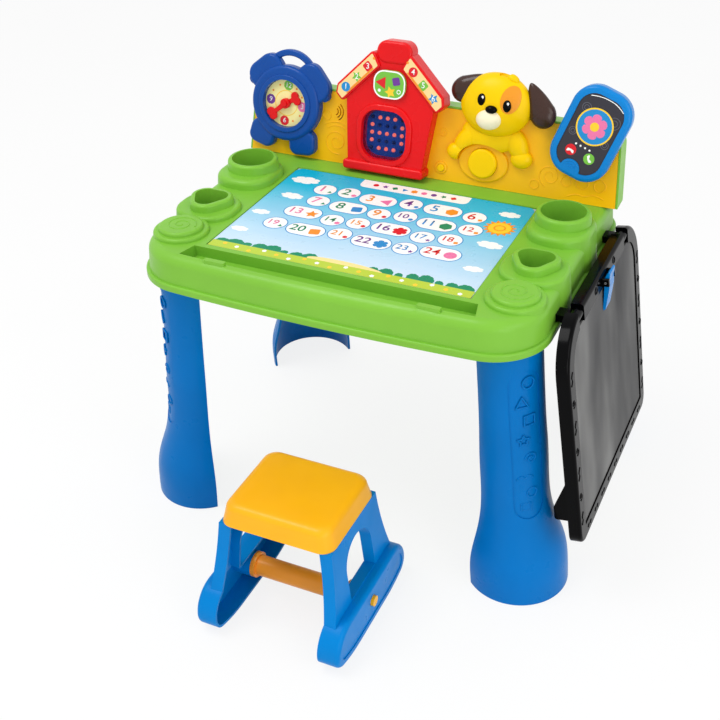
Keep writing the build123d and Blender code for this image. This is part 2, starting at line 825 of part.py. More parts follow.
def board_parts():
    parts["chalkboard_frame"] = board_frame()
    parts["chalk_panel"] = on_board(board_face(-board_border - fit), half_t - 5, half_t - 2.5)
    back = on_board(board_face(-4 - fit), -half_t, -half_t + 2)
    for x in (-knuckle_y, knuckle_y):
        back = back - on_board(Pos(x, 0) * Rectangle(knuckle_w + 18, 2 * board_over + 4), -half_t - 1, half_t)
    parts["chalkboard_back"] = back + board_prop()
    arms, pins = [], []
    outside = desk_body(0)
    for x in (-knuckle_y, knuckle_y):
        spot = Pos(hinge_x, board_y + x, hinge_z)
        arm = Pos(hinge_x - 15, board_y + x, hinge_z - 2) * Box(30, knuckle_w, 10)
        arm = arm + spot * Rot(90, 0, 0) * Cylinder(knuckle_r, knuckle_w)
        arm = arm - outside - spot * Rot(90, 0, 0) * Cylinder(pin_r + 0.05, 90)
        arms.append(arm.solids().sort_by(Axis.X)[-1])
        pins.append(spot * Rot(90, 0, 0) * Cylinder(pin_r, knuckle_w + 14))
    parts["hinge_brackets"] = Compound(arms)
    parts["hinge_pins"] = Compound(pins)
    parts["paper_clip"] = paper_clip()
    parts["clip_pin"] = rod(board, 0, clip_v, clip_d, 1.8, clip_w + 12)


def paper_clip():
    # Lever with a finger tab above its pin and a jaw resting over the panel
    face_d = half_t - 2.5
    side = Polygon(
        (clip_v + 12, clip_d + 6), (clip_v + 13, clip_d + 3.5), (clip_v + 4, clip_d - 3.0), (clip_v - 12, clip_d - 3.6),
        (clip_v - 42, face_d + 0.6), (clip_v - 46, face_d + 1.2), (clip_v - 44, face_d + 4), (clip_v - 12, clip_d + 3.4),
        (clip_v, clip_d + 4), align=None)
    place = Plane(origin=board.origin, x_dir=board.y_dir, z_dir=board.x_dir)
    body = extrude(place * side, clip_w / 2, both=True)
    return body - rod(board, 0, clip_v, clip_d, 1.8 + fit, clip_w + 30)


def stool_spot(shape):
    return Pos(stool_x, stool_y, 0) * shape


def seat_block(shrink):
    low = RectangleRounded(seat_l - 2 * shrink, seat_w - 2 * shrink, seat_corner - shrink)
    inset = seat_inset + shrink
    high = RectangleRounded(seat_l - 2 * inset, seat_w - 2 * inset, seat_corner - shrink)
    body = loft([lift(low, seat_z - seat_h), lift(high, seat_z - shrink)])
    return body


def stool_seat():
    body = seat_block(0)
    body = fillet(body.faces().sort_by(Axis.Z)[-1].edges(), 11)
    body = body - lift(seat_block(seat_wall), -0.01)
    height = seat_z - seat_wall + 1 - rest_z
    up = (Align.CENTER, Align.CENTER, Align.MIN)
    for x in (-boss_x, boss_x):
        for y in (-boss_y, boss_y):
            body = body + Pos(x, y, rest_z) * Cylinder(7, height, align=up)
    return stool_spot(body)


def runner_face(off):
    # Boat-shaped side view of a runner: flat middle, long upward sweep, rounded nose and shoulder
    half = runner_l / 2
    sweep = JernArc((runner_flat, 0), (1, 0), sweep_r, sweep_turn)
    reach = half - (sweep @ 1).X
    nose = JernArc(sweep @ 1, sweep % 1, reach / (1 - sin(radians(sweep_turn))), 90 - sweep_turn)
    shoulder = JernArc(nose @ 1, nose % 1, runner_h - (nose @ 1).Y, 90)
    right = [sweep, nose, shoulder]
    left = [mirror(e, about=Plane.YZ) for e in right]
    top = Line(shoulder @ 1, (-(shoulder @ 1).X, runner_h))
    face = make_face([Line((-runner_flat, 0), (runner_flat, 0))] + right + [top] + left)
    return offset(face, off) if off else face


def arch_face(off):
    # Side panel with hollow-curved front and rear edges
    low = runner_h - 14
    top = rest_z + 10
    wide = seat_w / 2 - 3.4
    edges = [
        Line((-97, low), (97, low)),
        ThreePointArc((97, low), (wide + 6, (low + top) / 2), (wide, top)),
        Line((wide, top), (-wide, top)),
        ThreePointArc((-wide, top), (-wide - 6, (low + top) / 2), (-97, low)),
    ]
    face = make_face(edges)
    return offset(face, off) if off else face


def arch_hole(off):
    low = runner_h + 2
    face = Pos(0, low + 23) * Rectangle(2 * hole_r, 46) + Pos(0, low + 46) * Circle(hole_r)
    return offset(face, off) if off else face


def side_way(face, near, far):
    # Extrude a side-view face of the stool from x near to x far
    return extrude(Plane.YZ * Pos(0, 0, near) * face, far - near, dir=(1, 0, 0))


def lean_in(shape):
    spot = Pos(panel_out, 0, runner_h)
    return spot * Rot(0, -panel_lean, 0) * spot.inverse() * shape


def below(shape, z):
    return shape & (Pos(0, 0, z / 2) * Box(600, 600, z))


def stool_side():
    low = seat_z - seat_h
    panel = lean_in(side_way(arch_face(0), side_in, panel_out))
    runner = side_way(runner_face(0), side_in, runner_out)
    runner = fillet(runner.faces().sort_by(Axis.X)[-1].edges(), 7)
    body = below(panel, low - flush) + runner
    hollow = below(lean_in(side_way(arch_face(-shell), side_in - 20, panel_out - shell)), low - shell)
    hollow = hollow + side_way(runner_face(-shell), side_in - 1, runner_out - shell)
    hollow = hollow - lean_in(side_way(arch_hole(shell), side_in - 20, panel_out + 9))
    body = body - hollow + below(panel & lift(seat_block(seat_wall + fit), -1), rest_z)
    body = body - lean_in(side_way(arch_hole(0), side_in - 30, runner_out + 30))
    body = body - side_way(runner_face(-13), runner_out - 1.5, runner_out + 1)
    body = body + side_way(Pos(0, bar_z) * Circle(bar_r + fit + 4), side_in, runner_out - 2)
    body = body - side_way(Pos(0, bar_z) * Circle(bar_r + fit), side_in - 1, runner_out - shell)
    return body - side_way(Pos(0, bar_z) * Circle(plug_r + fit), side_in, runner_out + 9)


def stool_parts():
    right = stool_side()
    parts["stool_seat"] = stool_seat()
    parts["stool_right_side"] = stool_spot(right)
    parts["stool_left_side"] = stool_spot(mirror(right, about=Plane.YZ))
    bar = side_way(Pos(0, bar_z) * Circle(bar_r), -runner_out + 6, runner_out - 6)
    for s in (-1, 1):
        collar = Pos(s * (side_in - 4), 0, bar_z) * Rot(0, 90, 0) * Cylinder(bar_r + 4, 7)
        bar = bar + collar
        bar = bar - Pos(s * runner_out, 0, bar_z) * Rot(0, 90, 0) * Cylinder(5 + fit, 50)
    parts["stool_crossbar"] = stool_spot(bar)
    plugs = []
    for s in (-1, 1):
        plug = Pos(s * (runner_out - 1), 0, bar_z) * Rot(0, 90, 0) * Cylinder(plug_r, 8)
        plug = plug + Pos(s * (runner_out - 12), 0, bar_z) * Rot(0, 90, 0) * Cylinder(5, 18)
        plugs.append(stool_spot(plug))
    parts["stool_plugs"] = Compound(plugs)


desk_parts()
console_parts()
clock_parts()
house_parts()
pup_parts()
phone_parts()
board_parts()
stool_parts()

everything = Compound(list(parts.values())).bounding_box()
shift = Pos(-everything.center().X, -everything.center().Y, -everything.min.Z)

for name, shape in parts.items():
    export_step(shift * shape, f"parts/{name}.step")
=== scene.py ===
import math
import bpy
from mathutils import Matrix, Vector


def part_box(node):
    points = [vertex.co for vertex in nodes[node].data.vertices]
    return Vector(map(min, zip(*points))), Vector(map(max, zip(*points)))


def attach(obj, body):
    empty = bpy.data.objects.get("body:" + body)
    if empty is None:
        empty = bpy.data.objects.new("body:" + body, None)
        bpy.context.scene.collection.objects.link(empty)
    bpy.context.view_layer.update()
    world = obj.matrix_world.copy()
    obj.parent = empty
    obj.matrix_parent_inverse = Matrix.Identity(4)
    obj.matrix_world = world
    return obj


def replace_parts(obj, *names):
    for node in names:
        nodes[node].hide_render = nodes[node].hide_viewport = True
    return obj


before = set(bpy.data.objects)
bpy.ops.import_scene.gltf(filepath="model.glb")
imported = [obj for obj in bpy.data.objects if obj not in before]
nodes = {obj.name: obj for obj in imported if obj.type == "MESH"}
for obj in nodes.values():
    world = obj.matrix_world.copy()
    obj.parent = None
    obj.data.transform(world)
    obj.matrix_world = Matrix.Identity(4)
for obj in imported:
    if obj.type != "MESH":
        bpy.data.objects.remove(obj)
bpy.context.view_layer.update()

# The desk's own middle, from the pad under the page
pad_low, pad_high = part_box("touch_pad")
home = Vector(((pad_low[0] + pad_high[0]) / 2, (pad_low[1] + pad_high[1]) / 2, 0.0))

MM = 0.001
PAGE_HALF = 142
# Most of a noise texture's values lie between these
NOISE_LOW, NOISE_HIGH = 0.3, 0.7
# Points in one turn of a bead's path
TURN_STEPS = 14


# ---------- colours ----------

def tint(r, g, b):
    # Screen colour of 0-255 steps as light values
    out = []
    for c in (r, g, b):
        c = c / 255.0
        out.append(c / 12.92 if c <= 0.04045 else ((c + 0.055) / 1.055) ** 2.4)
    return out[0], out[1], out[2], 1.0


def toned(colour, by):
    return tuple(min(1.0, c * by) for c in colour[:3]) + (1.0,)


# ---------- finishes ----------

def new_finish(name):
    mat = bpy.data.materials.new(name + "_finish")
    mat.use_nodes = True
    tree = mat.node_tree
    return mat, tree, tree.nodes["Principled BSDF"]


def preset(node, values):
    for key, value in values.items():
        node.inputs[key].default_value = value


def grain_coords(tree, stretch=(1, 1, 1)):
    coord = tree.nodes.new("ShaderNodeTexCoord")
    mapping = tree.nodes.new("ShaderNodeMapping")
    preset(mapping, {"Scale": stretch})
    tree.links.new(coord.outputs["Object"], mapping.inputs["Vector"])
    return mapping.outputs["Vector"]


def noise(tree, vector, scale, detail=2.0, rough=0.5):
    tex = tree.nodes.new("ShaderNodeTexNoise")
    preset(tex, {"Scale": scale, "Detail": detail, "Roughness": rough})
    tree.links.new(vector, tex.inputs["Vector"])
    return tex.outputs["Fac"]


def ramp(tree, value, stops):
    node = tree.nodes.new("ShaderNodeValToRGB")
    band = node.color_ramp
    while len(band.elements) < len(stops):
        band.elements.new(0.5)
    for element, (at, colour) in zip(band.elements, stops):
        element.position = at
        element.color = colour
    tree.links.new(value, node.inputs["Fac"])
    return node.outputs["Color"]


def two_tone(tree, value, low, high):
    # Drift from one colour to another with a noise value
    return ramp(tree, value, [(NOISE_LOW, low), (NOISE_HIGH, high)])


def remap(tree, value, low, high):
    # Spread a noise value over a span, such as from glossy to dull
    node = tree.nodes.new("ShaderNodeMapRange")
    preset(node, {"From Min": NOISE_LOW, "From Max": NOISE_HIGH, "To Min": low, "To Max": high})
    tree.links.new(value, node.inputs["Value"])
    return node.outputs["Result"]


def bump(tree, bsdf, height, strength, distance):
    node = tree.nodes.new("ShaderNodeBump")
    preset(node, {"Strength": strength, "Distance": distance})
    tree.links.new(height, node.inputs["Height"])
    tree.links.new(node.outputs["Normal"], bsdf.inputs["Normal"])


def paint(tree, bsdf, colour, rough):
    tree.links.new(colour, bsdf.inputs["Base Color"])
    tree.links.new(rough, bsdf.inputs["Roughness"])


def mixed(tree, end, first, second):
    # Send a mix of two shaders to the end node, and hand back the input for the second one's share
    mix = tree.nodes.new("ShaderNodeMixShader")
    tree.links.new(first, mix.inputs[1])
    tree.links.new(second, mix.inputs[2])
    tree.links.new(mix.outputs["Shader"], tree.nodes[end].inputs["Surface"])
    return mix.inputs["Fac"]


def moulded(name, colour, rough=0.36, coat=0.06, mottle=0.05, texture=0.10, shine=0.24):
    # Injection-moulded plastic: slow tone drift, uneven gloss and a fine spark texture
    mat, tree, bsdf = new_finish(name)
    where = grain_coords(tree)
    drift = noise(tree, where, 9.0, 3.0)
    tone = two_tone(tree, drift, toned(colour, 1 - mottle), toned(colour, 1 + mottle))
    gloss = noise(tree, where, 38.0)
    paint(tree, bsdf, tone, remap(tree, gloss, rough - 0.05, rough + 0.06))
    bump(tree, bsdf, noise(tree, where, 1400.0), texture, 0.12 * MM)
    preset(bsdf, {"Specular IOR Level": shine, "Coat Weight": coat, "Coat Roughness": 0.18})
    return mat


def printed(name, colour, rough=0.30):
    # Ink on coated sheet: faint dot grain under a smooth varnish
    mat, tree, bsdf = new_finish(name)
    where = grain_coords(tree)
    dots = noise(tree, where, 1800.0, 1.0)
    tone = ramp(tree, dots, [(0.35, toned(colour, 0.95)), (0.65, toned(colour, 1.03))])
    paint(tree, bsdf, tone, remap(tree, noise(tree, where, 60.0), rough - 0.04, rough + 0.05))
    preset(bsdf, {"Specular IOR Level": 0.2})
    return mat


def sky_print(name):
    # Page background: deep sky at the rear edge paling towards the front, with soft bands across
    mat, tree, bsdf = new_finish(name)
    coord = tree.nodes.new("ShaderNodeTexCoord")
    split = tree.nodes.new("ShaderNodeSeparateXYZ")
    tree.links.new(coord.outputs["Object"], split.inputs["Vector"])
    spread = tree.nodes.new("ShaderNodeMapRange")
    preset(spread, {"From Min": home.y - PAGE_HALF * MM, "From Max": home.y + PAGE_HALF * MM})
    tree.links.new(split.outputs["Y"], spread.inputs["Value"])
    sky = ramp(tree, spread.outputs["Result"], [
        (0.10, tint(204, 226, 244)), (0.35, tint(170, 214, 238)), (0.62, tint(112, 200, 230)),
        (0.80, tint(40, 188, 220)), (1.0, tint(6, 176, 214))])
    streak = noise(tree, grain_coords(tree, (2.0, 11.0, 1.0)), 3.0)
    bands = ramp(tree, streak, [(0.35, (0.94, 0.97, 0.99, 1)), (0.6, (1.0, 1.0, 1.0, 1))])
    mix = tree.nodes.new("ShaderNodeMix")
    mix.data_type = "RGBA"
    mix.blend_type = "MULTIPLY"
    preset(mix, {"Factor": 1.0})
    tree.links.new(sky, mix.inputs["A"])
    tree.links.new(bands, mix.inputs["B"])
    varnish = noise(tree, grain_coords(tree), 60.0)
    paint(tree, bsdf, mix.outputs["Result"], remap(tree, varnish, 0.26, 0.34))
    preset(bsdf, {"Specular IOR Level": 0.2})
    return mat


def chalk_face(name):
    # Grey writing panel with wiped chalk streaks running down it
    mat, tree, bsdf = new_finish(name)
    streak = noise(tree, grain_coords(tree, (3.0, 7.0, 2.6)), 1.7, 2.0, 0.45)
    wipe = ramp(tree, streak, [
        (0.28, tint(88, 88, 89)), (0.50, tint(110, 110, 110)), (0.72, tint(136, 136, 135))])
    paint(tree, bsdf, wipe, remap(tree, streak, 0.60, 0.78))
    preset(bsdf, {"Specular IOR Level": 0.0})
    tooth = noise(tree, grain_coords(tree), 2200.0)
    bump(tree, bsdf, tooth, 0.2, 0.2 * MM)
    return mat


def tinted_window(name, colour):
    # Clear lens with a light tint: mostly see-through, with a thin even gloss
    mat, tree, bsdf = new_finish(name)
    swirl = noise(tree, grain_coords(tree), 24.0)
    tone = two_tone(tree, swirl, toned(colour, 0.9), toned(colour, 1.1))
    paint(tree, bsdf, tone, remap(tree, swirl, 0.05, 0.12))
    clear = tree.nodes.new("ShaderNodeBsdfTransparent")
    preset(clear, {"Color": (0.72, 0.80, 0.98, 1)})
    share = mixed(tree, "Material Output", clear.outputs["BSDF"], bsdf.outputs["BSDF"])
    share.default_value = 0.08
    return mat


def lit_lens(name, colour, power):
    # Lamp that glows in its own colour
    mat, tree, bsdf = new_finish(name)
    core = noise(tree, grain_coords(tree), 400.0, 1.0)
    glow = two_tone(tree, core, toned(colour, 0.85), toned(colour, 1.1))
    for key in ("Base Color", "Emission Color"):
        tree.links.new(glow, bsdf.inputs[key])
    preset(bsdf, {"Emission Strength": power, "Roughness": 0.25})
    return mat


def bright_steel(name):
    # Drawn steel with fine brush lines
    mat, tree, bsdf = new_finish(name)
    brush = noise(tree, grain_coords(tree, (60, 60, 900)), 3.0)
    tone = two_tone(tree, brush, tint(176, 178, 182), tint(206, 208, 210))
    paint(tree, bsdf, tone, remap(tree, brush, 0.22, 0.38))
    preset(bsdf, {"Metallic": 1.0})
    return mat


desk_green = moulded("desk_green", tint(124, 187, 57), 0.38)
leg_blue = moulded("leg_blue", tint(0, 112, 188), 0.32, 0.02, shine=0.07)
stool_blue = moulded("stool_blue", tint(0, 128, 206), 0.32, 0.02, shine=0.07)
clock_blue = moulded("clock_blue", tint(8, 72, 154), 0.26, 0.08, shine=0.18)
house_red = moulded("house_red", tint(226, 14, 20), 0.26, 0.08, shine=0.18)
plate_orange = moulded("plate_orange", tint(255, 188, 12), 0.34)
pup_yellow = moulded("pup_yellow", tint(248, 202, 0), 0.34, 0.03, shine=0.12)
pup_brown = moulded("pup_brown", tint(58, 34, 26), 0.24, 0.2)
pup_orange = moulded("pup_orange", tint(236, 150, 34), 0.36)
pup_cream = moulded("pup_cream", tint(253, 240, 206), 0.38)
gloss_black = moulded("gloss_black", tint(3, 3, 4), 0.15, 0.02, 0.10, 0.04, 0.06)
phone_blue = moulded("phone_blue", tint(0, 126, 204), 0.26, 0.08, shine=0.18)
seat_orange = moulded("seat_orange", tint(253, 178, 18), 0.36)
bar_orange = moulded("bar_orange", tint(255, 160, 46), 0.34)
inner_dark = moulded("inner_dark", tint(40, 40, 42), 0.5)
circuit_green = moulded("circuit_green", tint(30, 96, 58), 0.45)
pad_film = moulded("pad_film", tint(190, 194, 196), 0.45)
dial_cream = printed("dial_cream", tint(255, 238, 164))
screen_print = printed("screen_print", tint(56, 54, 62), 0.16)
strip_print = printed("strip_print", tint(252, 214, 150))
white_ink = printed("white_ink", tint(250, 250, 248))
red_ink = printed("red_ink", tint(222, 36, 46))
green_ink = printed("green_ink", tint(120, 190, 70))
leaf_ink = printed("leaf_ink", tint(0, 138, 96))
grass_ink = printed("grass_ink", tint(186, 208, 62))
cream_ink = printed("cream_ink", tint(250, 226, 150))
blue_ink = printed("blue_ink", tint(38, 140, 205))
purple_ink = printed("purple_ink", tint(112, 62, 150))
pink_ink = printed("pink_ink", tint(236, 120, 168))
orange_ink = printed("orange_ink", tint(244, 146, 44))
yellow_ink = printed("yellow_ink", tint(252, 206, 56))
grey_ink = printed("grey_ink", tint(92, 92, 102))
page_sky = sky_print("page_sky")
chalk_grey = chalk_face("chalk_grey")
window_navy = tinted_window("window_navy", tint(30, 70, 150))
lamp_panel = moulded("lamp_panel", tint(52, 88, 140), 0.4, shine=0.1)
lamp_red = lit_lens("lamp_red", tint(255, 104, 60), 1.6)
lamp_off = moulded("lamp_off", tint(8, 16, 44), 0.3)
steel = bright_steel("steel")
inks = (red_ink, blue_ink, purple_ink, orange_ink, leaf_ink, pink_ink)

finish_of = (
    (desk_green, ("desk_top", "desk_underside", "console_rear_cover", "battery_door")),
    (leg_blue, ("front_left_leg", "front_right_leg", "rear_left_leg", "rear_right_leg")),
    (stool_blue, ("stool_left_side", "stool_right_side")),
    (clock_blue, ("clock_front", "clock_back")),
    (house_red, ("house_front", "house_back", "hour_hand", "minute_hand", "clock_spindle", "power_slider")),
    (plate_orange, ("console_front_plate",)),
    (pup_yellow, ("puppy_body", "puppy_head", "puppy_back", "round_button", "small_button")),
    (pup_brown, ("left_ear", "right_ear")),
    (pup_orange, ("eye_patch",)),
    (pup_cream, ("muzzle",)),
    (gloss_black, ("nose", "eyes", "chalkboard_frame", "chalkboard_back", "hinge_brackets")),
    (phone_blue, ("phone_case", "phone_back", "paper_clip")),
    (seat_orange, ("stool_seat", "stool_plugs")),
    (bar_orange, ("stool_crossbar",)),
    (inner_dark, ("button_switches", "speaker", "battery_box")),
    (circuit_green, ("main_circuit_board",)),
    (lamp_panel, ("lamp_board",)),
    (pad_film, ("touch_pad",)),
    (dial_cream, ("clock_dial",)),
    (screen_print, ("phone_screen",)),
    (strip_print, ("left_roof_strip", "right_roof_strip")),
    (green_ink, ("gable_badge",)),
    (page_sky, ("activity_page",)),
    (chalk_grey, ("chalk_panel",)),
    (window_navy, ("house_window",)),
    (lamp_red, ("lamps",)),
    (steel, ("desk_screws", "console_screws", "batteries", "hinge_pins", "clip_pin")),
)


def dress(obj, mat):
    obj.data.materials.clear()
    obj.data.materials.append(mat)


for finish, node_names in finish_of:
    for node_name in node_names:
        dress(nodes[node_name], finish)


# ---------- working planes, in the desk's own millimetres ----------

def plane_at(origin, across, facing):
    x = Vector(across).normalized()
    z = Vector(facing).normalized()
    base = Matrix((x, z.cross(x), z)).transposed().to_4x4()
    base.translation = Vector(origin) * MM + home
    return base


def moved(plane, u, v, lift=0.0, turn=0.0):
    place = plane @ Matrix.Translation(Vector((u, v, lift)) * MM)
    return place @ Matrix.Rotation(math.radians(turn), 4, "Z")


console_lean = math.radians(10.0)
board_hang = math.radians(8.5)
page_plane = plane_at((0, 0, 479), (1, 0, 0), (0, 0, 1))
deck_plane = moved(page_plane, 0, 0, 13.0)
stool_plane = plane_at((6, -290, 0), (1, 0, 0), (0, 0, 1))
console_plane = plane_at((0, 182, 480), (1, 0, 0), (0, -math.cos(console_lean), math.sin(console_lean)))
dial_plane = moved(console_plane, -238, 86, 10.6, -6)
gable_plane = moved(console_plane, -54, 0, 28.8)
badge_plane = moved(console_plane, -54, 141, 29.2)
phone_plane = moved(console_plane, 258, 108, 18.8, -20)
thumb_plane = moved(phone_plane, -4, -58.5, 1.2)
board_plane = plane_at((322, 40, 447), (0, 1, 0), (math.cos(board_hang), 0, math.sin(board_hang)))


# ---------- modelling helpers ----------

def pick_only(obj):
    bpy.ops.object.select_all(action="DESELECT")
    obj.select_set(True)
    bpy.context.view_layer.objects.active = obj


def edit(obj):
    pick_only(obj)
    bpy.ops.object.mode_set(mode="EDIT")


def edit_all(obj):
    edit(obj)
    bpy.ops.mesh.select_all(action="SELECT")


def done():
    bpy.ops.object.mode_set(mode="OBJECT")


def pick_points(obj, wanted):
    # Enter edit mode with only the wanted points selected
    edit(obj)
    bpy.ops.mesh.select_mode(type="VERT")
    bpy.ops.mesh.select_all(action="DESELECT")
    done()
    for v in obj.data.vertices:
        v.select = wanted(v)
    edit(obj)


def ball(r, segments, rings, turned=(0, 0, 0)):
    bpy.ops.object.select_all(action="DESELECT")
    bpy.ops.mesh.primitive_uv_sphere_add(segments=segments, ring_count=rings, radius=r, rotation=turned)
    return bpy.context.object


def thicken(obj, thick, side=1.0):
    # Give a sheet its wall, outwards or with side -1 inwards
    pick_only(obj)
    wall = obj.modifiers.new("wall", "SOLIDIFY")
    wall.thickness = thick * MM
    wall.offset = side
    bpy.ops.object.modifier_apply(modifier=wall.name)


def settle(obj, place, mat):
    # Move a shape to its place for good and give it its finish
    obj.matrix_world = place
    pick_only(obj)
    bpy.ops.object.transform_apply(location=True, rotation=True, scale=True)
    dress(obj, mat)


def gather(objs, name, body):
    # Join loose bits into one named piece that rides on a body
    bpy.ops.object.select_all(action="DESELECT")
    for obj in objs:
        obj.select_set(True)
    bpy.context.view_layer.objects.active = objs[0]
    if len(objs) > 1:
        bpy.ops.object.join()
    piece = bpy.context.view_layer.objects.active
    piece.name = name
    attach(piece, body)
    return piece


def raised_line(points, r, mat, closed=False):
    # Rounded bead along a run of world points, for moulded relief
    bpy.ops.object.select_all(action="DESELECT")
    bpy.ops.curve.primitive_nurbs_path_add()
    curve = bpy.context.object.data
    curve.splines.clear()
    run = curve.splines.new("NURBS")
    run.points.add(len(points) - 1)
    for spot, p in zip(run.points, points):
        spot.co = (p[0], p[1], p[2], 1)
    run.order_u = 3
    run.use_cyclic_u = closed
    run.use_endpoint_u = not closed
    run.resolution_u = 3
    curve.bevel_depth = r * MM
    curve.bevel_resolution = 2
    curve.use_fill_caps = True
    bpy.ops.object.convert(target="MESH")
    obj = bpy.context.object
    dress(obj, mat)
    bpy.ops.object.shade_smooth()
    return obj


class Decor:
    # Prints and beads on one working plane, joined at the end into one piece

    def __init__(self, plane):
        self.plane = plane
        self.bits = []

    def put(self, shape, u, v, ink, lift=0.0, turn=0.0, thick=0.10):
        # Give a flat shape its thickness and set it down
        thicken(shape, thick)
        settle(shape, moved(self.plane, u, v, lift, turn), ink)
        self.bits.append(shape)

    def bead(self, path, r, mat, lift=0.0, closed=False):
        points = [self.plane @ (Vector((u, v, lift)) * MM) for u, v in path]
        self.bits.append(raised_line(points, r, mat, closed))

    def join(self, name, body, slot):
        gather(self.bits, name, body)


# ---------- flat shapes, in millimetres ----------

def disc(r, sides=32):
    bpy.ops.object.select_all(action="DESELECT")
    bpy.ops.mesh.primitive_circle_add(vertices=sides, radius=r * MM, fill_type="NGON")
    return bpy.context.object


def oval(a, b, sides=36):
    obj = disc(1.0, sides)
    edit_all(obj)
    bpy.ops.transform.resize(value=(a, b, 1))
    done()
    return obj


def capsule(w, h):
    # Disc pulled apart into a rounded bar
    obj = disc(h / 2)
    for side in (-1, 1):
        pick_points(obj, lambda v: v.co.x * side > 1e-7)
        bpy.ops.transform.translate(value=(side * (w - h) / 2 * MM, 0, 0))
        done()
    return obj


def tile(w, h, r):
    # Plain rectangle with its corners rounded
    bpy.ops.object.select_all(action="DESELECT")
    bpy.ops.mesh.primitive_plane_add(size=1.0)
    obj = bpy.context.object
    edit_all(obj)
    bpy.ops.transform.resize(value=(w * MM, h * MM, 1))
    bpy.ops.mesh.bevel(offset=r * MM, segments=7, affect="VERTICES")
    done()
    return obj


def star(points, r, waist):
    obj = disc(r, points * 2)
    pick_points(obj, lambda v: v.index % 2 == 1)
    bpy.ops.transform.resize(value=(waist, waist, 1), center_override=(0, 0, 0))
    done()
    return obj


def scalloped(lobes, r, depth, flat=1.0):
    # Round outline with soft lobes, for clouds, bushes and flowers
    obj = disc(r, lobes * 12)
    for v in obj.data.vertices:
        angle = math.atan2(v.co.y, v.co.x)
        grow = 1 - depth + depth * math.sqrt(abs(math.sin(lobes * angle / 2)))
        v.co = (v.co.x * grow, v.co.y * grow * flat, 0)
    return obj


def hollowed(obj, width):
    # Keep only a band along a flat shape's outline
    edit(obj)
    bpy.ops.mesh.select_mode(type="FACE")
    bpy.ops.mesh.select_all(action="SELECT")
    bpy.ops.mesh.inset(thickness=width * MM)
    bpy.ops.mesh.delete(type="FACE")
    done()
    return obj


def thin_ring(r, width):
    return hollowed(disc(r, 48), width)


def figure(words, size):
    bpy.ops.object.select_all(action="DESELECT")
    bpy.ops.object.text_add()
    text = bpy.context.object.data
    text.body = words
    text.size = size * MM
    text.align_x = "CENTER"
    text.align_y = "CENTER"
    # A slightly bolder stroke
    text.offset = 0.012 * size * MM
    bpy.ops.object.convert(target="MESH")
    return bpy.context.object


DOT, STAR, SQUARE, TRIANGLE, FLOWER, HEXAGON = range(6)
KINDS = HEXAGON + 1


def small_shape(kind, size):
    # Plain shapes that look about equally large
    if kind == DOT:
        return disc(size, 24)
    if kind == STAR:
        return star(5, size * 1.15, 0.5)
    if kind == SQUARE:
        return tile(size * 1.7, size * 1.7, size * 0.3)
    if kind == TRIANGLE:
        return disc(size * 1.2, 3)
    if kind == FLOWER:
        return scalloped(6, size * 1.2, 0.3)
    return disc(size * 1.1, 6)


# ---------- paths for beads, in millimetres ----------

def on_circle(r, degrees):
    a = math.radians(degrees)
    return r * math.cos(a), r * math.sin(a)


def loop(cu, cv, r, steps=TURN_STEPS, start=0.0, sweep=360.0):
    # Whole circle, or an arc that has a point at both ends
    parts = steps if sweep >= 360 else steps - 1
    out = []
    for i in range(steps):
        du, dv = on_circle(r, start + sweep * i / parts)
        out.append((cu + du, cv + dv))
    return out


def spiral(cu, cv, r_in, r_out, turns, flip=1):
    out = []
    steps = int(turns * TURN_STEPS)
    for i in range(steps + 1):
        a = flip * 2 * math.pi * turns * i / steps
        r = r_in + (r_out - r_in) * i / steps
        out.append((cu + r * math.cos(a), cv + r * math.sin(a)))
    return out


def doubled(points):
    # Keep corners crisp on a smooth run by doubling each point
    out = []
    for p in points:
        out += [p, p]
    return out


# ---------- printed page: a counting chart under a plain sky ----------

def title_tab():
    # White tab that hangs from the page's rear edge, round at its two free corners
    obj = tile(178, 60, 10)
    edit_all(obj)
    bpy.ops.transform.translate(value=(0, 25 * MM, 0))
    bpy.ops.mesh.bisect(plane_co=(0, 20.4 * MM, 0), plane_no=(0, 1, 0), clear_outer=True)
    done()
    return obj


def page_scenery():
    art = Decor(page_plane)
    clouds = ((-166, 104, 24, 4), (-160, 46, 19, -3), (-178, -20, 15, 5), (-180, -80, 14, 0),
              (168, 108, 17, 2), (172, 8, 20, -4), (174, -66, 15, 3))
    for u, v, r, turn in clouds:
        art.put(scalloped(7, r, 0.24, 0.52), u, v, white_ink, turn=turn, thick=0.08)
    bushes = [i for i in range(20) if not 8 <= i <= 11]
    for i in bushes:
        r = 11 + 4 * math.sin(2.1 * i)
        u, v = -184 + 19.4 * i, -121 - 2 * math.cos(i)
        art.put(scalloped(9, r, 0.10, 0.80), u, v, leaf_ink, lift=0.004 * i, turn=7 * i, thick=0.08)
    art.put(oval(58, 10), 8, -123, cream_ink, lift=0.17, turn=-2, thick=0.06)
    art.put(tile(395, 18, 1.5), 0, -132.4, grass_ink, lift=0.25, thick=0.08)
    for i in range(18):
        u, v = -176 + 21 * i, -128 - 4 * (i % 3)
        petals = white_ink if i % 2 else yellow_ink
        art.put(scalloped(5, 3.4, 0.3), u, v, petals, lift=0.35, turn=20 * i, thick=0.05)
    sun = (168, 62)
    art.put(star(15, 25, 0.72), *sun, orange_ink, thick=0.08)
    art.put(disc(17), *sun, yellow_ink, lift=0.10, thick=0.08)
    art.put(thin_ring(9.0, 2.2), *sun, orange_ink, lift=0.2, thick=0.04)
    art.put(title_tab(), 8, 121, white_ink)
    for i in range(9):
        ink = inks[(i * 2 + i // 3) % len(inks)]
        art.put(small_shape(i % KINDS, 4.6), -56 + 16 * i, 128.5, ink, lift=0.12, turn=15 * i, thick=0.06)
    art.join("page_scenery_print", "page", "page_print")


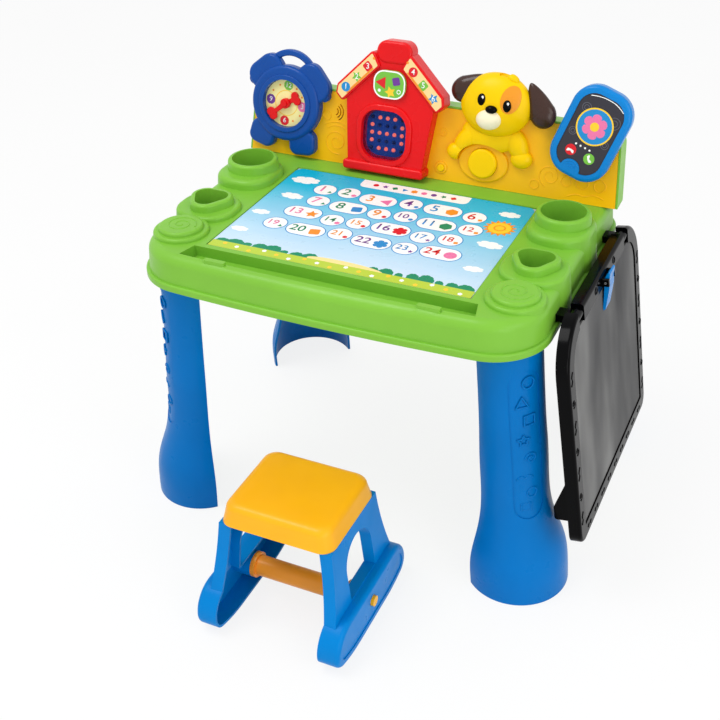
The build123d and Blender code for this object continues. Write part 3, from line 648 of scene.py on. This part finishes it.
def page_tiles():
    # Four rows of counting tiles, each with a shape beside its number, large on the wide tiles
    rows = (("nnwnwn", -140, 84), ("nwnnwn", -132, 41), ("wnnwnn", -148, -2), ("nwnwnw", -158, -45))
    wide_w, narrow_w, tile_h, border, spacing = 59, 35, 34, 3, 4.5
    top_layer = {"lift": 0.19, "thick": 0.06}
    art = Decor(page_plane)
    count = 0
    for row, (widths, u, row_v) in enumerate(rows):
        for col, width in enumerate(widths):
            count += 1
            wide = width == "w"
            w = wide_w if wide else narrow_w
            mid = u + w / 2
            v = row_v + 4 * math.sin(2.3 * col + row)
            art.put(capsule(w + border, tile_h + border), mid, v, blue_ink, thick=0.09)
            art.put(capsule(w, tile_h), mid, v, white_ink, lift=0.10, thick=0.08)
            shift = w * 0.22 if wide else 4.5
            tall = 27 if count < 10 else 24 if wide else 19
            ink = inks[(count * 5) % len(inks)]
            art.put(figure(str(count), tall), mid - shift, v + 1, ink, **top_layer)
            if wide:
                kind = count % KINDS
                spin = 90 if kind == TRIANGLE else 12
                ink = inks[(count * 5 + 2 + row) % len(inks)]
                art.put(small_shape(kind, 9.4), mid + w * 0.25, v - 1, ink, turn=spin, **top_layer)
            else:
                kind = (count + 2) % KINDS
                ink = inks[(count + 3) % len(inks)]
                art.put(small_shape(kind, 3.6), mid + 10.5, v - 6, ink, turn=12, **top_layer)
            u += w + spacing
    art.join("page_tile_print", "page", "page_print")


# ---------- console prints and reliefs ----------

def dial_print():
    art = Decor(dial_plane)
    figures_r, dots_r = 28.5, 30
    quarters = (("12", 90, green_ink), ("3", 0, pink_ink), ("6", 270, red_ink), ("9", 180, purple_ink))
    for words, angle, ink in quarters:
        u, v = on_circle(figures_r, angle)
        art.put(scalloped(8, 8.0, 0.07), u, v, ink)
        art.put(figure(words, 11), u, v, white_ink, lift=0.12, thick=0.06)
    for hour in range(12):
        if hour % 3:
            u, v = on_circle(dots_r, 30 * hour)
            art.put(disc(1.7, 16), u, v, orange_ink)
    art.put(thin_ring(20.5, 1.2), 0, 0, yellow_ink, thick=0.08)
    art.join("dial_figures", "desk", "dial_cream")


def gable_print():
    # Numbers on plain shapes up both roof strips, with a line along each strip and two dots
    art = Decor(gable_plane)
    backs = (blue_ink, green_ink, red_ink)
    for side, words in ((-1, "123"), (1, "654")):
        slope = -side * 45
        for i, word in enumerate(words):
            rise = 54.0 * (0.15 + 0.325 * i)
            u, v = side * (80.5 - rise), 121.0 + rise
            kind = (i + (side > 0)) % 3
            art.put(small_shape(kind, 7.4), u, v, backs[i], turn=slope)
            art.put(figure(word, 12), u, v, white_ink, lift=0.12, thick=0.06)
        art.put(tile(60, 3.0, 1.2), side * 49.4, 141.4, orange_ink, turn=slope, thick=0.07)
        art.put(disc(2.0, 16), side * 27.5, 177, orange_ink, thick=0.08)
        art.put(disc(1.6, 16), side * 57, 152.5, cream_ink, thick=0.08)
    art.join("gable_figures", "desk", "strip_print")


def badge_print():
    art = Decor(badge_plane)
    art.put(hollowed(tile(52, 42, 17), 2.2), 0, 0, white_ink, thick=0.25)
    art.put(small_shape(TRIANGLE, 9.0), -12, 2, red_ink, turn=90, thick=0.2)
    art.put(small_shape(SQUARE, 7.0), 11, 6, purple_ink, turn=14, thick=0.2)
    art.put(small_shape(STAR, 8.0), 2, -11, yellow_ink, turn=18, thick=0.2)
    art.put(disc(2.4, 16), -16, -10, white_ink, thick=0.2)
    art.put(thin_ring(3.4, 1.2), 16, -9, white_ink, thick=0.2)
    art.join("badge_figures", "desk", "badge_print")


def lamp_domes():
    # Five rows of five domed lamps behind the window, the marked ones lit
    lit_rows = (".###.", "#...#", "#####", "#...#", ".###.")
    groups = {True: [], False: []}
    for j in range(-2, 3):
        for i in range(-2, 3):
            dome = ball(3.1 * MM, 16, 10)
            edit_all(dome)
            bpy.ops.mesh.bisect(plane_co=(0, 0, 0), plane_no=(0, 0, 1), clear_inner=True, use_fill=True)
            bpy.ops.mesh.select_all(action="SELECT")
            bpy.ops.transform.resize(value=(1, 1, 1.4), center_override=(0, 0, 0))
            done()
            bpy.ops.object.shade_smooth_by_angle(angle=0.6)
            on = lit_rows[2 - j][2 + i] == "#"
            place = moved(console_plane, -60 + 12.6 * i, 62 + 12 * j, 12.0)
            settle(dome, place, lamp_red if on else lamp_off)
            groups[on].append(dome)
    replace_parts(gather(groups[True], "lit_lamps", "desk"), "lamps")
    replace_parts(gather(groups[False], "dark_lamps", "desk"), "lamps")


def receiver():
    # Handset sign: a bowed bar with two swollen ends
    obj = capsule(11.0, 2.6)
    for v in obj.data.vertices:
        x = v.co.x / MM
        swell = 1.0 + 0.75 * (abs(x) > 3.6)
        v.co = (x * MM, (v.co.y * swell) - 0.075 * x * x * MM + 0.9 * MM, 0)
    return obj


def phone_print():
    # A flower in a ring, a row of dots, two call buttons and faint rings in the corners, and a painted
    # reflection: a white arc near the top of the screen
    art = Decor(phone_plane)
    flower = (1, 13)
    art.put(thin_ring(27.5, 2.2), *flower, yellow_ink, thick=0.14)
    art.put(disc(25.4, 40), *flower, blue_ink)
    art.put(scalloped(6, 18.5, 0.30), *flower, pink_ink, lift=0.11, turn=10)
    art.put(disc(6.6, 24), *flower, yellow_ink, lift=0.22)
    for i in range(4):
        art.put(disc(1.5, 16), -12 + 7.4 * i, -20.5, white_ink, thick=0.12)
    for u, sign_v, ink, turn in ((-15, -33.2, red_ink, 0), (15, -32, green_ink, 128)):
        art.put(disc(8.2), u, -32, ink, thick=0.12)
        art.put(receiver(), u, sign_v, white_ink, lift=0.13, turn=turn)
    for u, v, r in ((-22, 33, 7), (24, 30, 9), (26, -4, 6), (-25, -6, 6)):
        for ring_r in (r, r * 0.55):
            art.put(thin_ring(ring_r, 0.9), u, v, grey_ink, thick=0.06)
    # Painted reflection: this white arc near the top of the screen stands in for a line of light shining off
    # the gloss
    art.bead([(-24, 51), (-12, 55.5), (4, 56.5), (18, 55), (29, 49)], 0.7, white_ink, lift=0.2)
    art.join("phone_screen_print_and_reflection", "telephone", "screen_dark")


def thumb_ridges():
    # Grip lines on the case where the thumb lies
    art = Decor(thumb_plane)
    for r in (4.5, 8.5, 12.5):
        art.bead(loop(0, 0, r, 9, 35, 110), 0.6, phone_blue)
    art.join("phone_thumb_ridges", "telephone", "phone_blue_plastic")


def disc_spirals():
    # One swirl on each of the desk's two round discs
    art = Decor(deck_plane)
    for side in (-1, 1):
        art.bead(spiral(side * 252, -122, 3, 24, 2.0, side), 1.1, desk_green, lift=-0.2)
    art.join("deck_relief", "desk", "green_plastic")


def plate_relief():
    # Swirls, arcs, a wavy line and stones on the console's plate
    art = Decor(console_plane)
    swirls = ((-152, 34, 4, 21, 1.8, 1), (28, 76, 2, 8, 1.4, -1), (202, 34, 4, 18, 1.7, 1))
    for swirl in swirls:
        art.bead(spiral(*swirl), 0.8, plate_orange)
    for r in (26, 32):
        art.bead(loop(-152, 34, r, 9, 20, 110), 0.8, plate_orange)
    art.bead([(232, 8), (244, 15), (258, 10), (272, 17), (288, 11)], 0.9, plate_orange)
    for stone in ((228, 30, 8), (252, 31, 10), (279, 30, 9), (180, 18, 7), (-170, 74, 7)):
        art.bead(loop(*stone), 0.9, plate_orange, closed=True)
    art.join("plate_relief", "desk", "yellow_plate_plastic")


def eye_glints():
    art = Decor(console_plane)
    for u, v, lift in ((97, 143, 34.6), (136.2, 138, 34.1)):
        art.put(oval(1.7, 2.4, 20), u, v, white_ink, lift=lift, turn=-15, thick=0.5)
    art.join("eye_glints", "desk", "puppy_cream")


# ---------- pieces that replace a node's solid ----------

def pup_ear(name, node, place, tip_turn, size):
    # Ball drawn out into a drop: full at its hanging end, slim where it meets the head
    rings, taper, swell = 20, 0.52, 0.4
    ear = ball(1.0, 32, rings, (math.pi / 2, 0, 0))
    bpy.ops.object.transform_apply(location=True, rotation=True, scale=True)
    for row in range(1, rings):
        level = math.cos(math.pi * row / rings)
        slim = 1 - taper * max(0.0, (level + 0.35) / 1.35) ** 1.1 + swell * max(0.0, -level - 0.1)
        pick_points(ear, lambda v: abs(v.co.y - level) < 1e-4)
        bpy.ops.transform.resize(value=(slim, 1, slim), center_override=(0, level, 0))
        done()
    edit_all(ear)
    bpy.ops.transform.resize(value=[length * MM for length in size])
    done()
    settle(ear, moved(console_plane, *place, tip_turn), pup_brown)
    # Flat at its back, just clear of the plate
    back = moved(console_plane, *place[:2], 0.5)
    edit_all(ear)
    bpy.ops.mesh.bisect(plane_co=back.translation, plane_no=back.col[2][:3], clear_inner=True, use_fill=True)
    done()
    bpy.ops.object.shade_smooth_by_angle(angle=0.9)
    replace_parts(gather([ear], name, "desk"), node)


def seat_lid():
    # Flat rounded plate drawn up step by step into a tapered lid, then hollowed from below
    wide, deep, corner, wall, lid_z = 172, 150, 20, 4, 180
    edge_z, edge_inset, edge_r = 21, 15.6, 11
    # Heights and insets: the foot, then the rounded top edge
    profile = [(3.0, 0.66)]
    for step in range(7):
        rise, run = math.sin(math.radians(15 * step)), math.cos(math.radians(15 * step))
        profile.append((edge_z + edge_r * rise, edge_inset - edge_r * run))
    lid = tile(wide, deep, corner)
    edit_all(lid)
    last_z, last_inset = 0.0, 0.0
    for z, inset in profile:
        bpy.ops.mesh.extrude_region_move(TRANSFORM_OT_translate={"value": (0, 0, (z - last_z) * MM)})
        shrink = [(half - inset) / (half - last_inset) for half in (wide / 2, deep / 2)]
        bpy.ops.transform.resize(value=(*shrink, 1), center_override=(0, 0, 0))
        last_z, last_inset = z, inset
    done()
    pick_points(lid, lambda v: v.co.z < 0.1 * MM)
    bpy.ops.mesh.delete(type="ONLY_FACE")
    bpy.ops.mesh.select_all(action="SELECT")
    bpy.ops.mesh.normals_make_consistent(inside=False)
    done()
    thicken(lid, wall, -1.0)
    settle(lid, moved(stool_plane, 0, 0, lid_z), seat_orange)
    bpy.ops.object.shade_smooth_by_angle(angle=0.7)
    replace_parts(gather([lid], "seat_lid", "stool"), "stool_seat")


# ---------- relief on the legs and the board's border ----------

def leg_point(sx, front, t, s):
    # Point on a leg's recessed panel: t across, s up its axis
    foot = Vector((sx * 275.0, -106.0 if front else 298.0, 0))
    top = Vector((sx * 244.0, -122.0 if front else 206.0, 430))
    up = (top - foot).normalized()
    angle = math.radians((-90 + 45 * sx) if front else (90 - 45 * sx))
    out = Vector((math.cos(angle), math.sin(angle), 0))
    out = (out - up * out.dot(up)).normalized()
    side = up.cross(out)
    mid_r, mid_s, taper, recess = 51.2, 200, 0.0150, 1.6
    r = mid_r - taper * (s - mid_s) - recess
    return (foot + up * s + out * math.sqrt(r * r - t * t) + side * t) * MM + home


def leg_relief():
    # A column of plain shapes on each leg: height, kind of line and path
    five_star = [on_circle(4.5 if i % 2 else 9, 90 + 36 * i) for i in range(10)]
    shapes = (
        (375, "round", loop(0, 0, 9)),
        (345, "sharp", [(-9, -8), (9, -8), (0, 9)]),
        (314, "sharp", [(-8, -8), (8, -8), (8, 8), (-8, 8)]),
        (282, "sharp", five_star),
        (250, "open", spiral(0, 0, 2, 10, 1.5)),
        (220, "open", [(-12, -4), (-6, 5), (0, -4), (6, 5), (12, -4)]),
        (190, "round", loop(0, 0, 8)),
        (166, "sharp", [(-7, -6), (7, -6), (7, 6), (-7, 6)]),
    )
    legs = (("front_left", -1, True), ("front_right", 1, True),
            ("rear_left", -1, False), ("rear_right", 1, False))
    for name, sx, front in legs:
        bits = []
        for k, (s, line, path) in enumerate(shapes):
            shift = 5 * (-1) ** k
            points = [leg_point(sx, front, u + shift, s + v) for u, v in path]
            if line == "sharp":
                points = doubled(points)
            bits.append(raised_line(points, 1.5, leg_blue, closed=line != "open"))
        gather(bits, name + "_leg_relief", "desk")


def board_relief():
    # Waves along the lower border, swirls and zigzags up both sides, two rings at the top
    art = Decor(board_plane)
    face, bead_r = 9.0, 1.0
    for i in range(9):
        u = -150 + 37.5 * i
        wave = [(u - 9, -321), (u - 4, -316), (u + 1, -323), (u + 6, -317), (u + 10, -321)]
        art.bead(wave, bead_r, gloss_black, lift=face)
    for side in (-1, 1):
        u = side * 180.5
        for i in range(7):
            v = -60 - 38 * i
            if i % 2:
                path = spiral(u, v, 1.5, 6, 1.3, side)
            else:
                path = [(u - 4, v - 9), (u + 4, v - 3), (u - 4, v + 3), (u + 4, v + 9)]
            art.bead(path, bead_r, gloss_black, lift=face)
    for u in (-48, 48):
        art.bead(loop(u, 0, 5), bead_r, gloss_black, lift=face, closed=True)
    art.join("board_relief", "chalkboard", "black_plastic")


page_scenery()
page_tiles()
dial_print()
gable_print()
badge_print()
lamp_domes()
phone_print()
thumb_ridges()
disc_spirals()
plate_relief()
eye_glints()
seat_lid()
pup_ear("left_ear_drop", "left_ear", (74, 153, 8), -62.5, (19.5, 37, 12))
pup_ear("right_ear_drop", "right_ear", (176.5, 137, 8), 28.7, (19.5, 35, 12))
leg_relief()
board_relief()


# ---------- camera, light and floor ----------

def photo_camera():
    az, el, roll = math.radians(24.66), math.radians(33.45), math.radians(-1.10)
    eye = Vector((0.6111, -1.3390, 1.2232))
    back = Vector((math.sin(az) * math.cos(el), -math.cos(az) * math.cos(el), math.sin(el)))
    ahead = -back
    right = ahead.cross(Vector((0, 0, 1))).normalized()
    up = right.cross(ahead)
    across = right * math.cos(roll) + up * math.sin(roll)
    upward = up * math.cos(roll) - right * math.sin(roll)
    data = bpy.data.cameras.new("photo_camera")
    data.sensor_width = 36.0
    data.lens = 56.55
    data.shift_x = -0.0219
    data.shift_y = -0.0030
    data.clip_end = 20.0
    cam = bpy.data.objects.new("photo_camera", data)
    turn = Matrix((across, upward, back)).transposed().to_4x4()
    cam.matrix_world = Matrix.Translation(eye + home) @ turn
    bpy.context.collection.objects.link(cam)
    bpy.context.scene.camera = cam


def soft_lamp(name, place, target, size, power):
    data = bpy.data.lights.new(name, "AREA")
    data.shape = "DISK"
    data.size = size
    data.energy = power
    lamp = bpy.data.objects.new(name, data)
    way = Vector(target) - Vector(place)
    lamp.matrix_world = Matrix.Translation(place) @ way.to_track_quat("-Z", "Y").to_matrix().to_4x4()
    bpy.context.collection.objects.link(lamp)


def seen_directly(tree):
    # One where the camera sees a surface itself, or sees it mirrored or through glass
    path = tree.nodes.new("ShaderNodeLightPath")
    out = path.outputs["Is Camera Ray"]
    for kind in ("Is Glossy Ray", "Is Transmission Ray"):
        pick = tree.nodes.new("ShaderNodeMath")
        pick.operation = "MAXIMUM"
        tree.links.new(out, pick.inputs[0])
        tree.links.new(path.outputs[kind], pick.inputs[1])
        out = pick.outputs["Value"]
    return out


def studio():
    # Even white surroundings that light the part less brightly than they look
    scene = bpy.context.scene
    scene.view_settings.view_transform = "Standard"
    world = bpy.data.worlds.new("studio_white")
    world.use_nodes = True
    tree = world.node_tree
    sky = tree.nodes["Background"]
    preset(sky, {"Color": (1, 1, 1, 1), "Strength": 0.72})
    plain = tree.nodes.new("ShaderNodeBackground")
    preset(plain, {"Color": (1, 1, 1, 1)})
    share = mixed(tree, "World Output", sky.outputs["Background"], plain.outputs["Background"])
    tree.links.new(seen_directly(tree), share)
    scene.world = world
    soft_lamp("key_lamp", (-0.9, -0.8, 2.8), (0, 0, 0.4), 1.4, 31)
    soft_lamp("side_lamp", (2.0, -0.9, 1.6), (0, 0, 0.4), 1.4, 10)
    soft_lamp("front_lamp", (1.8, -1.8, 0.6), (0.1, -0.3, 0.3), 1.2, 9)


def pale_floor():
    # White floor that still takes a faint shadow
    bpy.ops.object.select_all(action="DESELECT")
    bpy.ops.mesh.primitive_plane_add(size=14.0, location=(0, 0, -0.5 * MM))
    floor = bpy.context.object
    floor.name = "floor"
    mat, tree, bsdf = new_finish("floor_white")
    cloud = noise(tree, grain_coords(tree), 3.0)
    tone = two_tone(tree, cloud, (0.93, 0.93, 0.93, 1), (0.95, 0.95, 0.95, 1))
    tree.links.new(tone, bsdf.inputs["Base Color"])
    preset(bsdf, {"Roughness": 0.7, "Specular IOR Level": 0.1})
    glow = tree.nodes.new("ShaderNodeEmission")
    part = tree.nodes.new("ShaderNodeMath")
    part.operation = "MULTIPLY"
    part.inputs[1].default_value = 0.84
    tree.links.new(seen_directly(tree), part.inputs[0])
    share = mixed(tree, "Material Output", bsdf.outputs["BSDF"], glow.outputs["Emission"])
    tree.links.new(part.outputs["Value"], share)
    floor.data.materials.append(mat)


photo_camera()
studio()
pale_floor()
